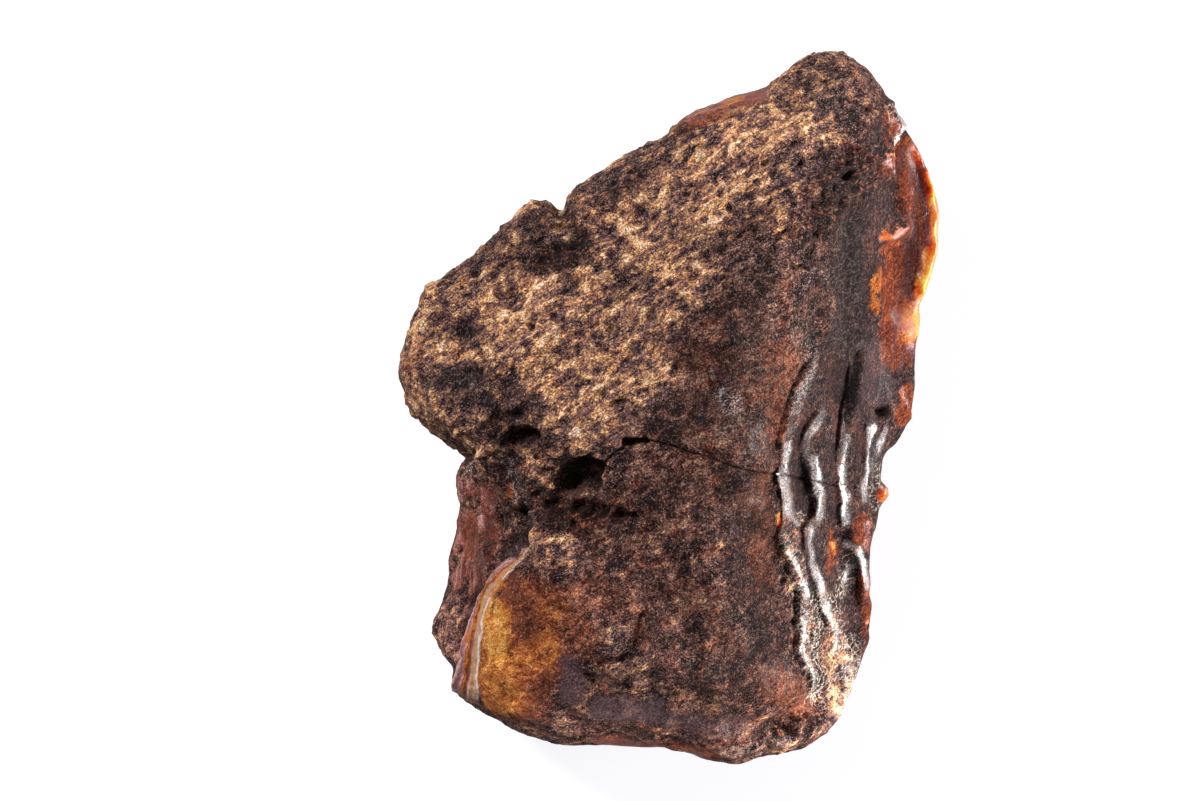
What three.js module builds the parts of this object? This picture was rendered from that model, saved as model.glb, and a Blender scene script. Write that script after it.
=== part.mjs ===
// A lump of raw amber lying on its broad back. Millimetres, +Z up.
// Its long axis is Y, and the origin is on the ground under the middle of its box.
import * as THREE from 'three';
import { mergeVertices } from 'three/addons/utils/BufferGeometryUtils.js';

// Driving dimensions
const length = 72;
const width = 54;
const thickness = 30;

// How the lump is built up
const meshDetail = 18;        // subdivisions of the starting icosahedron
const boxiness = 2.5;         // 2 is an ellipsoid, more is squarer
const crownHeight = 32;       // top of the lump before its faces are broken off
const bellyDepth = -1.1;      // bottom of the lump before the resting patch is cut flat
const faceBlend = 2.2;        // rounding where a broken face meets the lump
const swellSize = 0.45;       // height of the broad lumps all over it
const outlineCentre = new THREE.Vector2(-1, -2);

// The rim, which is the widest line round the lump: places and heights, counter-clockwise from its right
const rimPoints = [
  [24.4, 0.4, 14], [24.7, 6.2, 14.5], [25.2, 11, 15], [26.7, 17, 15.5], [27, 20, 15.5], [25.6, 24.6, 15.5],
  [22.6, 29.6, 15], [19.8, 33.8, 15], [16, 36, 15], [12.9, 35.2, 15], [10.3, 32.5, 15], [6.2, 31.2, 15],
  [2.5, 29.9, 15], [-1, 27.2, 14], [-6.6, 24.4, 14], [-11.2, 20.6, 14], [-14.1, 20.5, 14], [-18.2, 17, 14],
  [-22.4, 13.5, 13.5], [-25, 11.2, 13], [-26.4, 8, 13], [-27, 4, 13], [-26.4, 0.4, 13], [-24.2, -2.3, 12],
  [-20.6, -4.6, 11], [-21.2, -7, 9], [-21.6, -11.4, 8], [-22.6, -16, 8], [-23.6, -22.4, 8.5],
  [-22.6, -26.4, 9], [-20.8, -29.6, 10], [-17.4, -31.6, 10], [-11.3, -34, 10], [-4.3, -34, 10],
  [1.4, -34.6, 10], [6.3, -36, 10], [9.7, -35, 10], [13.4, -34.3, 10], [16.6, -32, 10], [18.3, -28, 10],
  [20.4, -21.5, 11], [20, -15.6, 12], [20.8, -11, 12.5], [21.6, -9.2, 13], [21, -5.8, 13],
  [22.4, -3.8, 13.5],
];

// Broad broken faces that trim the lump: a point on each face and its outward normal
const upperFaces = [
  { point: [-14, 12, 23.5], normal: [-0.34, 0.3, 0.89] },   // long bedded face, upper left
  { point: [-2, -16, 28.2], normal: [-0.1, -0.14, 0.98] },  // lower front
  { point: [15.5, 2, 23.5], normal: [0.7, -0.18, 0.69] },   // folded flank, right
  { point: [14, -30, 21], normal: [0.3, -0.62, 0.72] },     // lower right corner
  { point: [14, 30, 24], normal: [0.1, 0.5, 0.86] },        // top knob
];
const underFaces = [
  { point: [19, 14, 7.5], normal: [0.5, 0.05, -0.865] },    // below the thin flange
  { point: [-16, 8, 4.5], normal: [-0.5, 0.2, -0.84] },     // below the left lobe
  { point: [0, -28, 4], normal: [0.05, -0.5, -0.86] },      // lower end
];

// Hollows (negative) and swellings (positive) of the upper side: place, radius and height
const mounds = [
  { at: [-9, -8.5], radius: 5.5, height: -3.6 },    // big worn cavity
  { at: [-15, -3.5], radius: 3.6, height: -1.8 },   // hollow beside it
  { at: [-11.5, 16.5], radius: 3.4, height: -1 },   // pitted hollow near the upper edge
  { at: [11, 29], radius: 7, height: 1.4 },         // crown of the top knob
  { at: [-18, 7], radius: 7, height: 1 },           // left lobe
  { at: [-8, -22], radius: 9, height: 1 },          // swollen lower front
  { at: [8, -27], radius: 6, height: 0.8 },         // lower right shoulder
  { at: [2, -29.5], radius: 3.5, height: -1 },      // dip between the two
  { at: [14.5, -31], radius: 3, height: -1 },       // dark dip at the lower right rim
];

// Creases of the upper side: the run of each, its half width and its depth
const creases = [
  { run: [[-26, -4.6], [-18, -5], [-12, -7]], reach: 3, depth: 2 },                  // left notch
  { run: [[13, 10], [12.4, -4], [13.2, -12], [15.4, -22]], reach: 1.9, depth: 1 },   // folds of the flank
  { run: [[17.2, 7], [16.6, -6], [17.4, -15], [18, -23]], reach: 1.8, depth: 1 },
  { run: [[20.6, 6], [19.6, -3], [20, -9]], reach: 1.7, depth: 0.9 },
];

// Ledges: the upper side drops to the right of a walk along each run, and the drop may fade at either end
const ledges = [
  {
    run: [
      [-26, -3.4], [-18.5, -6.4], [-14.4, -9.4], [-14, -12.6], [-16.4, -17], [-19.7, -23], [-23.4, -31],
    ],
    drop: 5.5, blend: 2.6, fadeIn: 0.35, fadeOut: 0.3,
  },
  {
    run: [[19.2, 4], [20.2, 14], [21.4, 24], [22.6, 30], [26, 37]],
    drop: 4, blend: 1.8, fadeIn: 0.3, fadeOut: 0,
  },
];

const circle = 2 * Math.PI;
const smooth = (value, from, to) => THREE.MathUtils.smoothstep(value, from, to);

// Radius and height of the rim, by direction from the outline's centre
function makeRim(points) {
  const places = points.map((point) => new THREE.Vector3(...point));
  const curve = new THREE.CatmullRomCurve3(places, true, 'centripetal');
  const samples = curve.getPoints(points.length * 16).slice(1).map((point) => {
    const arm = new THREE.Vector2(point.x, point.y).sub(outlineCentre);
    return { angle: arm.angle(), radius: arm.length(), height: point.z };
  });
  samples.sort((a, b) => a.angle - b.angle);
  const first = samples[0];
  const last = samples[samples.length - 1];
  samples.unshift({ ...last, angle: last.angle - circle });
  samples.push({ ...first, angle: first.angle + circle });
  return (angle) => {
    const turned = THREE.MathUtils.euclideanModulo(angle, circle);
    const next = samples.findIndex((sample) => sample.angle > turned);
    const low = samples[next - 1];
    const high = samples[next];
    const share = (turned - low.angle) / (high.angle - low.angle);
    return {
      radius: THREE.MathUtils.lerp(low.radius, high.radius, share),
      height: THREE.MathUtils.lerp(low.height, high.height, share),
    };
  };
}

const rimAt = makeRim(rimPoints);

// The same radius with its small notches averaged away, for the inner part of both sides
function softRadius(angle) {
  const offsets = [-0.3, -0.2, -0.1, 0, 0.1, 0.2, 0.3];
  const total = offsets.reduce((sum, offset) => sum + rimAt(angle + offset).radius, 0);
  return total / offsets.length;
}

// A squared-off pillow with the rim as its widest line
function pillowPoint(direction) {
  const angle = Math.atan2(direction.y, direction.x);
  const power = 2 / boxiness;
  const spread = Math.pow(Math.hypot(direction.x, direction.y), power);
  const rise = Math.pow(Math.abs(direction.z), power);
  const rim = rimAt(angle);
  const radius = THREE.MathUtils.lerp(softRadius(angle), rim.radius, smooth(spread, 0.72, 0.98));
  return new THREE.Vector3(
    outlineCentre.x + radius * spread * Math.cos(angle),
    outlineCentre.y + radius * spread * Math.sin(angle),
    THREE.MathUtils.lerp(rim.height, direction.z > 0 ? crownHeight : bellyDepth, rise),
  );
}

// Lower of two heights, rounded where they cross
function blendedMin(a, b) {
  const overlap = Math.max(faceBlend - Math.abs(a - b), 0) / faceBlend;
  return Math.min(a, b) - overlap * overlap * faceBlend / 4;
}

// Height of a broken face above a place
function faceHeight({ point, normal }, place) {
  const along = normal[0] * (place.x - point[0]) + normal[1] * (place.y - point[1]);
  return point[2] - along / normal[2];
}

// Nearest point of a run to a place: its distance, the side of the run and the share of the run before it
function nearestOnRun(run, place) {
  let nearest = { distance: Infinity, side: 1, share: 0 };
  for (let i = 1; i < run.length; i += 1) {
    const start = new THREE.Vector2(...run[i - 1]);
    const edge = new THREE.Vector2(...run[i]).sub(start);
    const arm = new THREE.Vector2(place.x, place.y).sub(start);
    const along = THREE.MathUtils.clamp(arm.dot(edge) / edge.lengthSq(), 0, 1);
    const distance = arm.distanceTo(edge.clone().multiplyScalar(along));
    if (distance < nearest.distance) {
      nearest = { distance, side: Math.sign(arm.cross(edge)), share: (i - 1 + along) / (run.length - 1) };
    }
  }
  return nearest;
}

// Drop of the ground beside a ledge
function ledgeDrop(ledge, place) {
  const { distance, side, share } = nearestOnRun(ledge.run, place);
  const start = ledge.fadeIn ? smooth(share, 0, ledge.fadeIn) : 1;
  const end = ledge.fadeOut ? 1 - smooth(share, 1 - ledge.fadeOut, 1) : 1;
  return ledge.drop * start * end * smooth(distance * side, -ledge.blend, ledge.blend);
}

// Everything that the upper side adds to the trimmed pillow
function reliefHeight(place) {
  let height = 0;
  for (const mound of mounds) {
    const distance = Math.hypot(place.x - mound.at[0], place.y - mound.at[1]);
    height += mound.height * (1 - smooth(distance, 0, mound.radius));
  }
  for (const crease of creases) {
    height -= crease.depth * (1 - smooth(nearestOnRun(crease.run, place).distance, 0, crease.reach));
  }
  for (const ledge of ledges) {
    height -= ledgeDrop(ledge, place);
  }
  return height;
}

// Broad uneven swelling, so that no side is smooth
function swell(place) {
  const wide = Math.sin(place.x * 0.42 + place.y * 0.17) * Math.sin(place.y * 0.38 - place.z * 0.3);
  const small = Math.sin(place.x * 0.8 - place.y * 0.5 + 1) * Math.sin(place.z * 0.7 + place.y * 0.6);
  return swellSize * (wide + 0.5 * small);
}

// A direction from the lump's middle to the place on its surface
function shapePoint(direction) {
  const place = pillowPoint(direction);
  const rimHeight = rimAt(Math.atan2(direction.y, direction.x)).height;
  if (direction.z > 0) {
    const trim = (height, face) => blendedMin(height, faceHeight(face, place));
    const trimmed = upperFaces.reduce(trim, place.z);
    const relief = smooth(direction.z, 0.02, 0.3) * reliefHeight(place);
    place.z = Math.max(trimmed + relief, rimHeight);
  } else {
    const trim = (depth, face) => blendedMin(depth, -faceHeight(face, place));
    const trimmed = underFaces.reduce(trim, -place.z);
    place.z = Math.min(-trimmed, rimHeight);
  }
  return place.addScaledVector(direction, smooth(Math.abs(direction.z), 0.08, 0.4) * swell(place));
}

// Scale and shift to the driving dimensions, with the resting patch cut flat on the ground
function fitToBox(geometry) {
  const position = geometry.attributes.position;
  for (let i = 0; i < position.count; i += 1) {
    position.setZ(i, Math.max(position.getZ(i), 0));
  }
  geometry.computeBoundingBox();
  const size = geometry.boundingBox.getSize(new THREE.Vector3());
  const centre = geometry.boundingBox.getCenter(new THREE.Vector3());
  geometry.translate(-centre.x, -centre.y, 0);
  geometry.scale(width / size.x, length / size.y, thickness / size.z);
}

function amberGeometry() {
  const sphere = new THREE.IcosahedronGeometry(1, meshDetail);
  sphere.deleteAttribute('normal');
  sphere.deleteAttribute('uv');
  const geometry = mergeVertices(sphere, 1e-5);
  const position = geometry.attributes.position;
  const direction = new THREE.Vector3();
  for (let i = 0; i < position.count; i += 1) {
    direction.fromBufferAttribute(position, i).normalize();
    const place = shapePoint(direction);
    position.setXYZ(i, place.x, place.y, place.z);
  }
  fitToBox(geometry);
  geometry.computeVertexNormals();
  return geometry;
}

const crustedAmber = new THREE.MeshStandardMaterial({ color: 0x6e4630, roughness: 0.6, metalness: 0 });

const amber = new THREE.Mesh(amberGeometry(), crustedAmber);
amber.name = 'amber';

const group = new THREE.Group();
group.add(amber);

export default group;
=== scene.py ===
import math
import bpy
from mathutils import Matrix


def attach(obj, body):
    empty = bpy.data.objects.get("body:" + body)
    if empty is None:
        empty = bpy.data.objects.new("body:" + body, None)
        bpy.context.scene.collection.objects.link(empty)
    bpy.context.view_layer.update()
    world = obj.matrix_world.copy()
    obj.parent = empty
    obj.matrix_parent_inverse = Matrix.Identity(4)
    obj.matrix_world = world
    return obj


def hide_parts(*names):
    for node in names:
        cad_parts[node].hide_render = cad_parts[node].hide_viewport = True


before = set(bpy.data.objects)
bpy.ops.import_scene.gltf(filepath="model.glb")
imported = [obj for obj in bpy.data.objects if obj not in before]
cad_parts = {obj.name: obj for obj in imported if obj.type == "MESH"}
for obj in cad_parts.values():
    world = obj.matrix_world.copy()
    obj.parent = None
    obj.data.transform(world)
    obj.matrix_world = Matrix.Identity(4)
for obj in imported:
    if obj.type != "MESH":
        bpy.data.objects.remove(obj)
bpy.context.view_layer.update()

from types import SimpleNamespace

import bmesh
import bpy
import numpy as np
from mathutils import Vector, noise

mm = 0.001


class Wire:          # one output socket that can be used in sums
    def __init__(self, tree, socket):
        self.tree = tree
        self.socket = socket

    def sum(self, operation, first, second):
        return addNode(self.tree, "ShaderNodeMath", {"operation": operation}, {0: first, 1: second})

    def __add__(self, other):
        return self.sum("ADD", self, other)

    def __radd__(self, other):
        return self.sum("ADD", other, self)

    def __sub__(self, other):
        return self.sum("SUBTRACT", self, other)

    def __rsub__(self, other):
        return self.sum("SUBTRACT", other, self)

    def __mul__(self, other):
        return self.sum("MULTIPLY", self, other)

    def __rmul__(self, other):
        return self.sum("MULTIPLY", other, self)

    def output(self, name):          # another output of the same node
        return Wire(self.tree, self.socket.node.outputs[name])


def addNode(tree, kind, settings=None, sockets=None, output=0):
    node = tree.nodes.new(kind)
    for name, value in (settings or {}).items():
        setattr(node, name, value)
    for name, value in (sockets or {}).items():
        if isinstance(value, Wire):
            tree.links.new(value.socket, node.inputs[name])
        else:
            node.inputs[name].default_value = value
    return None if output is None else Wire(tree, node.outputs[output])


def mixColours(tree, factor, first, second):
    return addNode(tree, "ShaderNodeMix", {"data_type": "RGBA"}, {0: factor, 6: first, 7: second}, output=2)


def ramp(tree, value, low, high):          # 0 below low, 1 above high, smooth between
    return addNode(tree, "ShaderNodeMapRange", {"interpolation_type": "SMOOTHSTEP"},
                   {"Value": value, "From Min": low, "From Max": high})


def gradient(tree, value, stops):          # colours at places from 0 to 1
    wire = addNode(tree, "ShaderNodeValToRGB", {}, {"Fac": value})
    elements = wire.socket.node.color_ramp.elements
    for index, (place, colour) in enumerate(stops):
        element = elements[index] if index < 2 else elements.new(place)
        element.position = place
        element.color = (*colour, 1)
    return wire


def newMaterial(name):
    material = bpy.data.materials.new(name)
    material.use_nodes = True
    material.node_tree.nodes.clear()
    return material, material.node_tree


# the lump is measured in millimetres, and a run of places is seen from above
def smooth(value, low, high):
    share = np.clip((value - low) / (high - low), 0, 1)
    return share * share * (3 - 2 * share)


# distance to a run of places, + to its right, then the way along it and its whole length
def follow(points, run):
    distance = np.full(len(points), 1e9)
    side = np.ones(len(points))
    along = np.zeros(len(points))
    walked = 0
    for start, end in zip(run[:-1], run[1:]):
        edge = np.subtract(end, start)
        arm = points[:, :2] - start
        share = np.clip(arm @ edge / (edge @ edge), 0, 1)
        gap = np.hypot(*(arm - share[:, None] * edge).T)
        nearer = gap < distance
        distance = np.where(nearer, gap, distance)
        side = np.where(nearer, np.where(arm[:, 0] * edge[1] > arm[:, 1] * edge[0], 1, -1), side)
        along = np.where(nearer, walked + share * np.hypot(*edge), along)
        walked += np.hypot(*edge)
    return distance * side, along, walked


def fromRun(points, run):
    return follow(points, run)[0] if len(run) > 1 else np.hypot(*(points[:, :2] - run[0]).T)


def near(points, run, reach, full, none):          # 1 up to full reaches from a run, 0 from none reaches on
    return 1 - smooth(np.abs(fromRun(points, run)) / reach, full, none)


def strokes(points, marks):          # soft strokes: the amount along the middle of each, 0 away from it
    cover = np.zeros(len(points))
    for run, reach, amount in marks:
        cover = np.maximum(cover, amount * near(points, run, reach, 0.45, 1.35))
    return cover


def grain(points, size, octaves=2, shift=0.0):          # rough noise between about -1 and 1
    offset = Vector((shift, 1.7 * shift, -shift))
    return np.array([noise.fractal(Vector(p) + offset, 1.0, 2.0, octaves) for p in points / size])


def cells(points, size):          # distance to the nearest of scattered centres, in cell sizes
    return np.array([noise.voronoi(Vector(p))[0][0] for p in points / size])


lump = {
    "voxel": 0.56 * mm,          # fineness of the sculpted mesh, which is halved on the upper side
    "upperTilt": 0.12,           # a face is on the upper side when its normal points up more than this
    "crackReach": 0.35,          # the mesh is finer again this near the crack
    "crackLow": 18,              # and above this height
    "darkLow": 9,                # holes get painted shade above this height
    "crackDepth": 0.4,
    "crackWidth": 0.09,
    "beddingTurn": 29,           # direction of the bedding on the long face, degrees
    "beddingHeight": 0.36,
    "threadHeight": 0.35,
    "skinGloss": 0.12,           # shine of the smooth violet-brown skin
    # crest of the lump from the knob to the left notch, with the long ochre face to its right
    "crest": [(19, 40), (15.6, 28), (12, 22.5), (9.6, 17), (4.4, 11), (0.4, 6), (-2.4, 1), (-5, -3.6),
              (-9, -5), (-20, -5), (-32, -5)],
    # where the front turns into the folded flank
    "flankEdge": [(20.6, 31), (17.6, 24), (16.4, 18), (15.6, 10), (13.6, 4), (11.4, -2), (10.4, -7),
                  (11.4, -12), (12, -15), (13, -19), (12.4, -24), (14, -29), (15, -33)],
    "crack": [(-7, -5.6), (-5.6, -4.2), (-4.2, -3.1), (-2, -3.1), (1, -4.1), (4, -5), (7.6, -6.1),
              (11, -6.5), (13.4, -7.1), (16.6, -7.8)],
    # worn holes: the run along each, its reach and its depth
    "holes": [
        ([(-15, -2.9), (-14.4, -2.8)], 1.1, 2.2), ([(-10.2, -7.2), (-9.1, -5.9), (-7.6, -6.3)], 1.1, 2.0),
        ([(-9.8, -7.6), (-7.6, -7.3)], 0.7, 1.2), ([(-12, -9.2), (-10, -9.8), (-7.6, -10.4)], 0.9, 1.2),
        ([(-5.3, -10.4), (-4.4, -10.6)], 0.7, 1.3), ([(-4.6, -3.3), (-2.5, -3.1)], 0.4, 1.3),
        ([(-13, 14.8), (-11.4, 15.7), (-9.4, 17)], 0.8, 0.9), ([(-11.2, 18.2)], 0.7, 0.8),
        ([(-9.2, 12.6)], 0.6, 0.7),
        ([(20.7, -0.5), (21.7, -0.1)], 0.4, 1.2), ([(-14.6, -10.6), (-14.8, -12.8)], 0.8, 1.4),
        ([(-15.9, -13.3), (-15.6, -14.3)], 0.6, 1.0), ([(-7.9, -27.3)], 0.3, 0.8),
        ([(-8.8, -26.2), (-8, -26.4)], 0.2, 0.5),
        ([(10.4, 16.9), (10.8, 17.1)], 0.5, 0.6), ([(14.2, 17.2)], 0.5, 0.7),
        ([(17, 23), (18, 23.1)], 0.4, 0.8),
        ([(12, 13.9), (13, 13.8)], 0.35, 0.6), ([(12.6, 24.2)], 0.5, 0.6), ([(18.8, 25.6)], 0.4, 0.6),
        ([(19.2, 29.8)], 0.5, 0.6), ([(-6.2, 8)], 0.5, 0.6), ([(2, 12.5)], 0.4, 0.5),
        ([(-17, 11)], 0.5, 0.6),
        ([(4.8, 20.5)], 0.5, 0.6), ([(-19.5, 3.5)], 0.6, 0.6), ([(9, 24)], 0.5, 0.5),
        ([(-17.6, -1.2), (-15, -0.6)], 0.6, 0.7),
        ([(-2, 6)], 0.5, 0.6), ([(3, 25)], 0.6, 0.6), ([(11, -17.1)], 0.4, 0.6), ([(9.5, -18.4)], 0.4, 0.6),
    ],
    # folds that run down the flank: the middle of each one's bright slope, how far the flat beside it
    # reaches to the left, and the height of the step to its right
    "folds": [
        ([(14.6, 5.4), (12.7, 1.6), (12, -0.8), (11.2, -3.2), (10.9, -5.1), (10.7, -6.8), (11, -8.7),
          (11.6, -10.4), (11.5, -11.5), (11.1, -12.5), (11.5, -14), (12.3, -15.4), (13, -17.3),
          (13.5, -18.5), (13.1, -20.2), (13.1, -22.6), (12.9, -24.3), (13.6, -26), (14.2, -27.6),
          (14.1, -29.6)], 1.8, 0.75),
        ([(15.6, 1.4), (15, -0.3), (13.8, -2), (13.1, -3.6), (13.8, -6), (14.4, -7.7), (15, -9.2),
          (14.8, -10.6), (13.6, -12), (13.6, -13.7), (13.9, -15.2), (14.8, -17.3), (15.3, -19),
          (15.9, -20.7), (16.8, -23)], 2.0, 0.75),
        ([(18.4, 6), (18.2, 2.1), (17.6, -0.3), (17.2, -3.2), (17, -5.3), (17.1, -7.5), (17.4, -9.6),
          (17.6, -11.3), (16.8, -13.2)], 2.1, 0.7),
        ([(16.6, -12.8), (18.3, -13.8), (19.2, -15.2), (19.6, -17.1), (19.8, -20.6)], 1.9, 0.7),
        ([(20.2, 0.4), (20, -2.2), (19.9, -4.4), (19.9, -6.3), (19.1, -8), (19.4, -10.2)], 1.8, 0.6),
        ([(21.9, -1.6), (20.9, -3.4), (20.7, -5), (20.3, -8.8)], 0.9, 0.4),
        ([(18.4, -14.8), (17.5, -16.8), (17.2, -19.2)], 0.8, 0.3),
        ([(17, -24.6), (17.6, -27), (18, -29.8)], 1.2, 0.4),
        ([(14.2, -19.4), (14.8, -22.6), (14.4, -25.8)], 0.8, 0.3),
    ],
    "shine": [          # the glossiest stretches of the folds, which are also painted pale as highlight
        ([(11.3, -3.6), (11, -5.1), (10.9, -6.8)], 0.42, 0.9),
        ([(10.9, -6.4), (11.2, -8.7), (11.7, -10.2)], 0.6, 1.1),
        ([(11.7, -10), (12.4, -11.6)], 0.2, 0.8),
        ([(11.5, -14), (12.3, -15.4), (13, -17.3), (13.5, -18.5)], 0.26, 0.9),
        ([(15, -0.3), (13.4, -2.6)], 0.4, 0.3),
        ([(13.1, -20.2), (13.1, -22.6), (12.9, -24.3), (13.6, -26), (14.2, -27.6)], 0.24, 0.9),
        ([(13.8, -5), (14.5, -7.7), (15, -9.2), (14.8, -10.6)], 0.42, 0.9),
        ([(13.6, -12), (13.6, -13.7), (13.9, -15.2)], 0.24, 0.8),
        ([(13.9, -15.2), (14.8, -17.3), (15.3, -19), (16.6, -22.4)], 0.36, 1.0),
        ([(17.6, -2.4), (17.1, -4.6), (17, -6)], 0.26, 0.7),
        ([(17, -6), (17.1, -7.5), (17.4, -9.6), (17.5, -11.3)], 0.44, 1.0),
        ([(17.6, -13.5), (18.7, -14.2), (19.4, -15.6), (19.8, -18)], 0.36, 1.1),
        ([(21.6, -2), (20.7, -4)], 0.3, 0.6),
        ([(18.2, -15.4), (17.2, -17.6)], 0.24, 0.6), ([(16.4, -22.6), (16.6, -24)], 0.22, 0.7),
        ([(20, -2), (20.1, -4.4), (19.9, -6)], 0.42, 1.0),
        ([(19.9, -6), (19.2, -8), (19.3, -9.2)], 0.3, 0.9),
        ([(21.8, 23.4), (22.3, 25.5), (22.7, 27), (22.7, 28.6), (22.2, 30.4)], 0.3, 1.0),
    ],
    "rough": [          # loose dark crumbs round the holes
        ([(-13.4, -9.4), (-11, -10.6), (-7.6, -10.6)], 1.9, 1.0), ([(-6, -9.4), (-3, -11)], 1.3, 0.6),
        ([(-17.6, -2), (-12.6, -4.6)], 1.3, 0.9),
        ([(-12.4, -6), (-12, -8)], 1, 0.6), ([(-6.4, -4.8), (-6, -8)], 0.9, 0.6),
        ([(14.6, -30.6), (10, -33)], 1.2, 0.8),
        ([(-13.4, 14.4), (-9, 16.4)], 1.4, 0.7), ([(4, 15.6), (9, 19)], 1.2, 0.5),
        ([(14, 19), (19, 24)], 2.4, 0.7),
    ],
    "edgeBumps": [          # bumps and bites in the outline
        ([(-21.4, -7)], 1.4, 0.6), ([(-20.6, -10)], 0.8, -0.7), ([(-20, -4.7)], 0.8, -0.9),
        ([(-23.6, -22.4)], 1.8, 0.6),
        ([(-22.4, -17.4)], 1.6, -0.5), ([(-22.8, -26.6)], 1.2, -0.5), ([(-22, -29)], 0.8, 0.3),
        ([(-11.2, 20.6)], 0.7, -0.9),
        ([(-9, 21.4)], 0.8, 0.3), ([(-13.4, 19.6)], 1.4, 0.4), ([(22, -10.4)], 0.8, -0.5),
        ([(21.4, -12)], 0.9, 0.3),
        ([(22.4, -5)], 1, -0.5), ([(24.3, -1)], 0.6, 0.5), ([(25.6, 10)], 0.8, -0.2),
        ([(26.8, 16), (26.4, 12)], 1.4, 0.6), ([(20.6, -23.6)], 0.9, 0.4),
        ([(20.8, -18.6)], 0.9, -0.4), ([(3, -35.4)], 1, 0.3), ([(6, 27.6)], 0.9, -0.3),
        ([(-1.6, 27)], 0.8, -0.4), ([(22.8, 29.4)], 0.6, -0.4),
        ([(16, 37.4)], 1.2, -0.3), ([(-24.6, 9.6)], 1, -0.3), ([(-26.6, 4)], 1.4, 0.2),
        ([(-18.6, 15)], 1, -0.3), ([(-22.6, -14)], 1, 0.2),
    ],
    "veined": [          # net of raised threads low on the flank
        ([(13.6, -19.6), (13.5, -26.4)], 1.1, 1.0), ([(18, -25), (18, -29.6)], 1, 0.7),
        ([(11.6, -13.4), (12, -17)], 0.7, 0.6),
    ],
    # broad swells and hollows, with their reach and height
    "swells": [
        ([(-6, -10), (-1.4, -12.6)], 1.6, -0.35), ([(-9.6, -16), (-5.6, -21), (-5.6, -23.4)], 3.2, 0.6),
        ([(-1.6, -27.6), (3, -28.6)], 1.5, -0.7), ([(11.2, -28)], 3.4, 0.9),
        ([(6, -32), (10.6, -31.6), (14.6, -29)], 1.1, -0.9),
        ([(14.6, -31), (11, -33.4)], 1.4, 0.5), ([(1, 1), (7, 1)], 3.4, -0.5),
        ([(22.4, 27), (22.7, 20)], 0.7, -0.9),
        ([(20.9, 16.8), (22, 17.2), (23.4, 18.3)], 0.7, 0.6), ([(20, 13.4), (20.2, 9.4)], 0.8, 0.6),
        ([(23.4, 9.4), (23.9, 7.6)], 0.9, 0.5),
        ([(17.4, 19), (17.2, 8)], 1.2, -0.5), ([(-20.4, -11), (-20.6, -17), (-22, -23)], 1.3, -0.9),
        ([(-17, -6.6), (-16.4, -11)], 1.2, -0.8),
        ([(-19.4, -5.6), (-19.8, -9.4)], 0.7, 0.6), ([(-16, -16.6), (-18, -22), (-17.8, -27)], 1.5, 0.5),
        ([(21.3, -8.4)], 0.9, 0.7),
        ([(-22.6, 5), (-20, 3)], 1.6, -0.4), ([(-11.4, 20.4), (-10.4, 18.4)], 0.9, -0.8),
        ([(8, -4), (9, -9)], 2.4, 0.4),
        ([(6, -18), (7, -22)], 2.2, 0.4), ([(0, -17), (2, -22)], 2, -0.4),
        ([(-13, -20.6), (-12.6, -22)], 1.6, -0.3),
        ([(-14, 6), (-8, 9.4)], 1.4, 0.4), ([(-4, 14), (4, 18)], 1.6, 0.4), ([(-7, 12), (-1, 14)], 1, -0.4),
        ([(4, 10), (12, 15)], 1.5, -0.4),
        ([(2, 6), (8, 9)], 1.2, 0.4), ([(-20, 8), (-15, 11.4)], 1.2, -0.4),
        ([(14, 28), (17, 33)], 1.6, 0.4), ([(9, 27), (13, 31)], 1.2, -0.35),
    ],
    # low scarps: ground to the right of each run is lower
    "scarps": [
        ([(-2.6, -20.8), (-2.9, -22.2), (-3.1, -23.9), (-4.9, -25.1), (-6.5, -25.6), (-8.2, -25.1),
          (-9.8, -23.6)], 0.35, 0.45),
        ([(21.6, 23.4), (22, 25.2), (22.5, 26.6), (22.9, 27.8), (22.6, 28.8), (22.1, 30)], 0.4, 0.6),
        ([(18.6, 5), (18.2, 2), (17.6, -0.6)], 0.3, 0.4),
        ([(-17.4, -8), (-16.8, -12.4), (-17.4, -16), (-19.4, -19.8), (-20.8, -23.4), (-22.2, -28)],
         0.4, 0.6),
    ],
    # sharp edges of glassy flakes
    "flakeEdges": [
        ([(21.7, 23.2), (21.9, 24), (22.3, 25.5), (22.6, 26.8), (22.8, 28.6), (22.2, 30.5)], 0.3, 0.8),
        ([(22.6, 26.8), (23.7, 27.2)], 0.25, 0.4),
        ([(-18.8, -4.3), (-19.5, -5.4), (-20.1, -7.4), (-20, -9), (-19.4, -10.6), (-19, -12.2),
          (-18.8, -14.2)], 0.35, 0.65),
        ([(-17.3, -11.4), (-17.4, -12.8), (-16.7, -14.6), (-16.9, -15.4)], 0.25, 0.45),
        ([(-14.4, -6.4), (-13.6, -9.4), (-13.6, -12.4)], 0.3, 0.35),
        ([(-15.6, -10.2), (-16.2, -11.6), (-15, -12.4)], 0.25, 0.35),
    ],
    # glassy flutes that fan out between two edges
    "fan": {
        "left": [(-13.5, -12.9), (-16.1, -15.1), (-18.1, -17.5), (-19.4, -20.5), (-20.8, -23.8),
                 (-22.2, -28.2)],
        "right": [(-13.4, -13.2), (-15.3, -15.7), (-17.3, -18.4), (-18.3, -20.8), (-18.8, -23.8),
                  (-19.3, -29)],
        "count": 4,
        "height": 0.14,
    },
    # brush strokes over the upper side, from their runs, reaches and amounts
    "ochre": [
        ([(-12.8, -12.9), (-11.4, -12.9), (-9.6, -13.4)], 0.4, 0.9),
        ([(-13, -13.2), (-10.4, -14.6)], 1.3, 0.5), ([(-14, -1.4), (-7, -1.4)], 1.6, 0.7),
        ([(-4.8, -25.8), (-2, -27.4)], 1.5, 0.6), ([(10.6, -13.5), (11.8, -17.6)], 1.6, 0.8),
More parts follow.
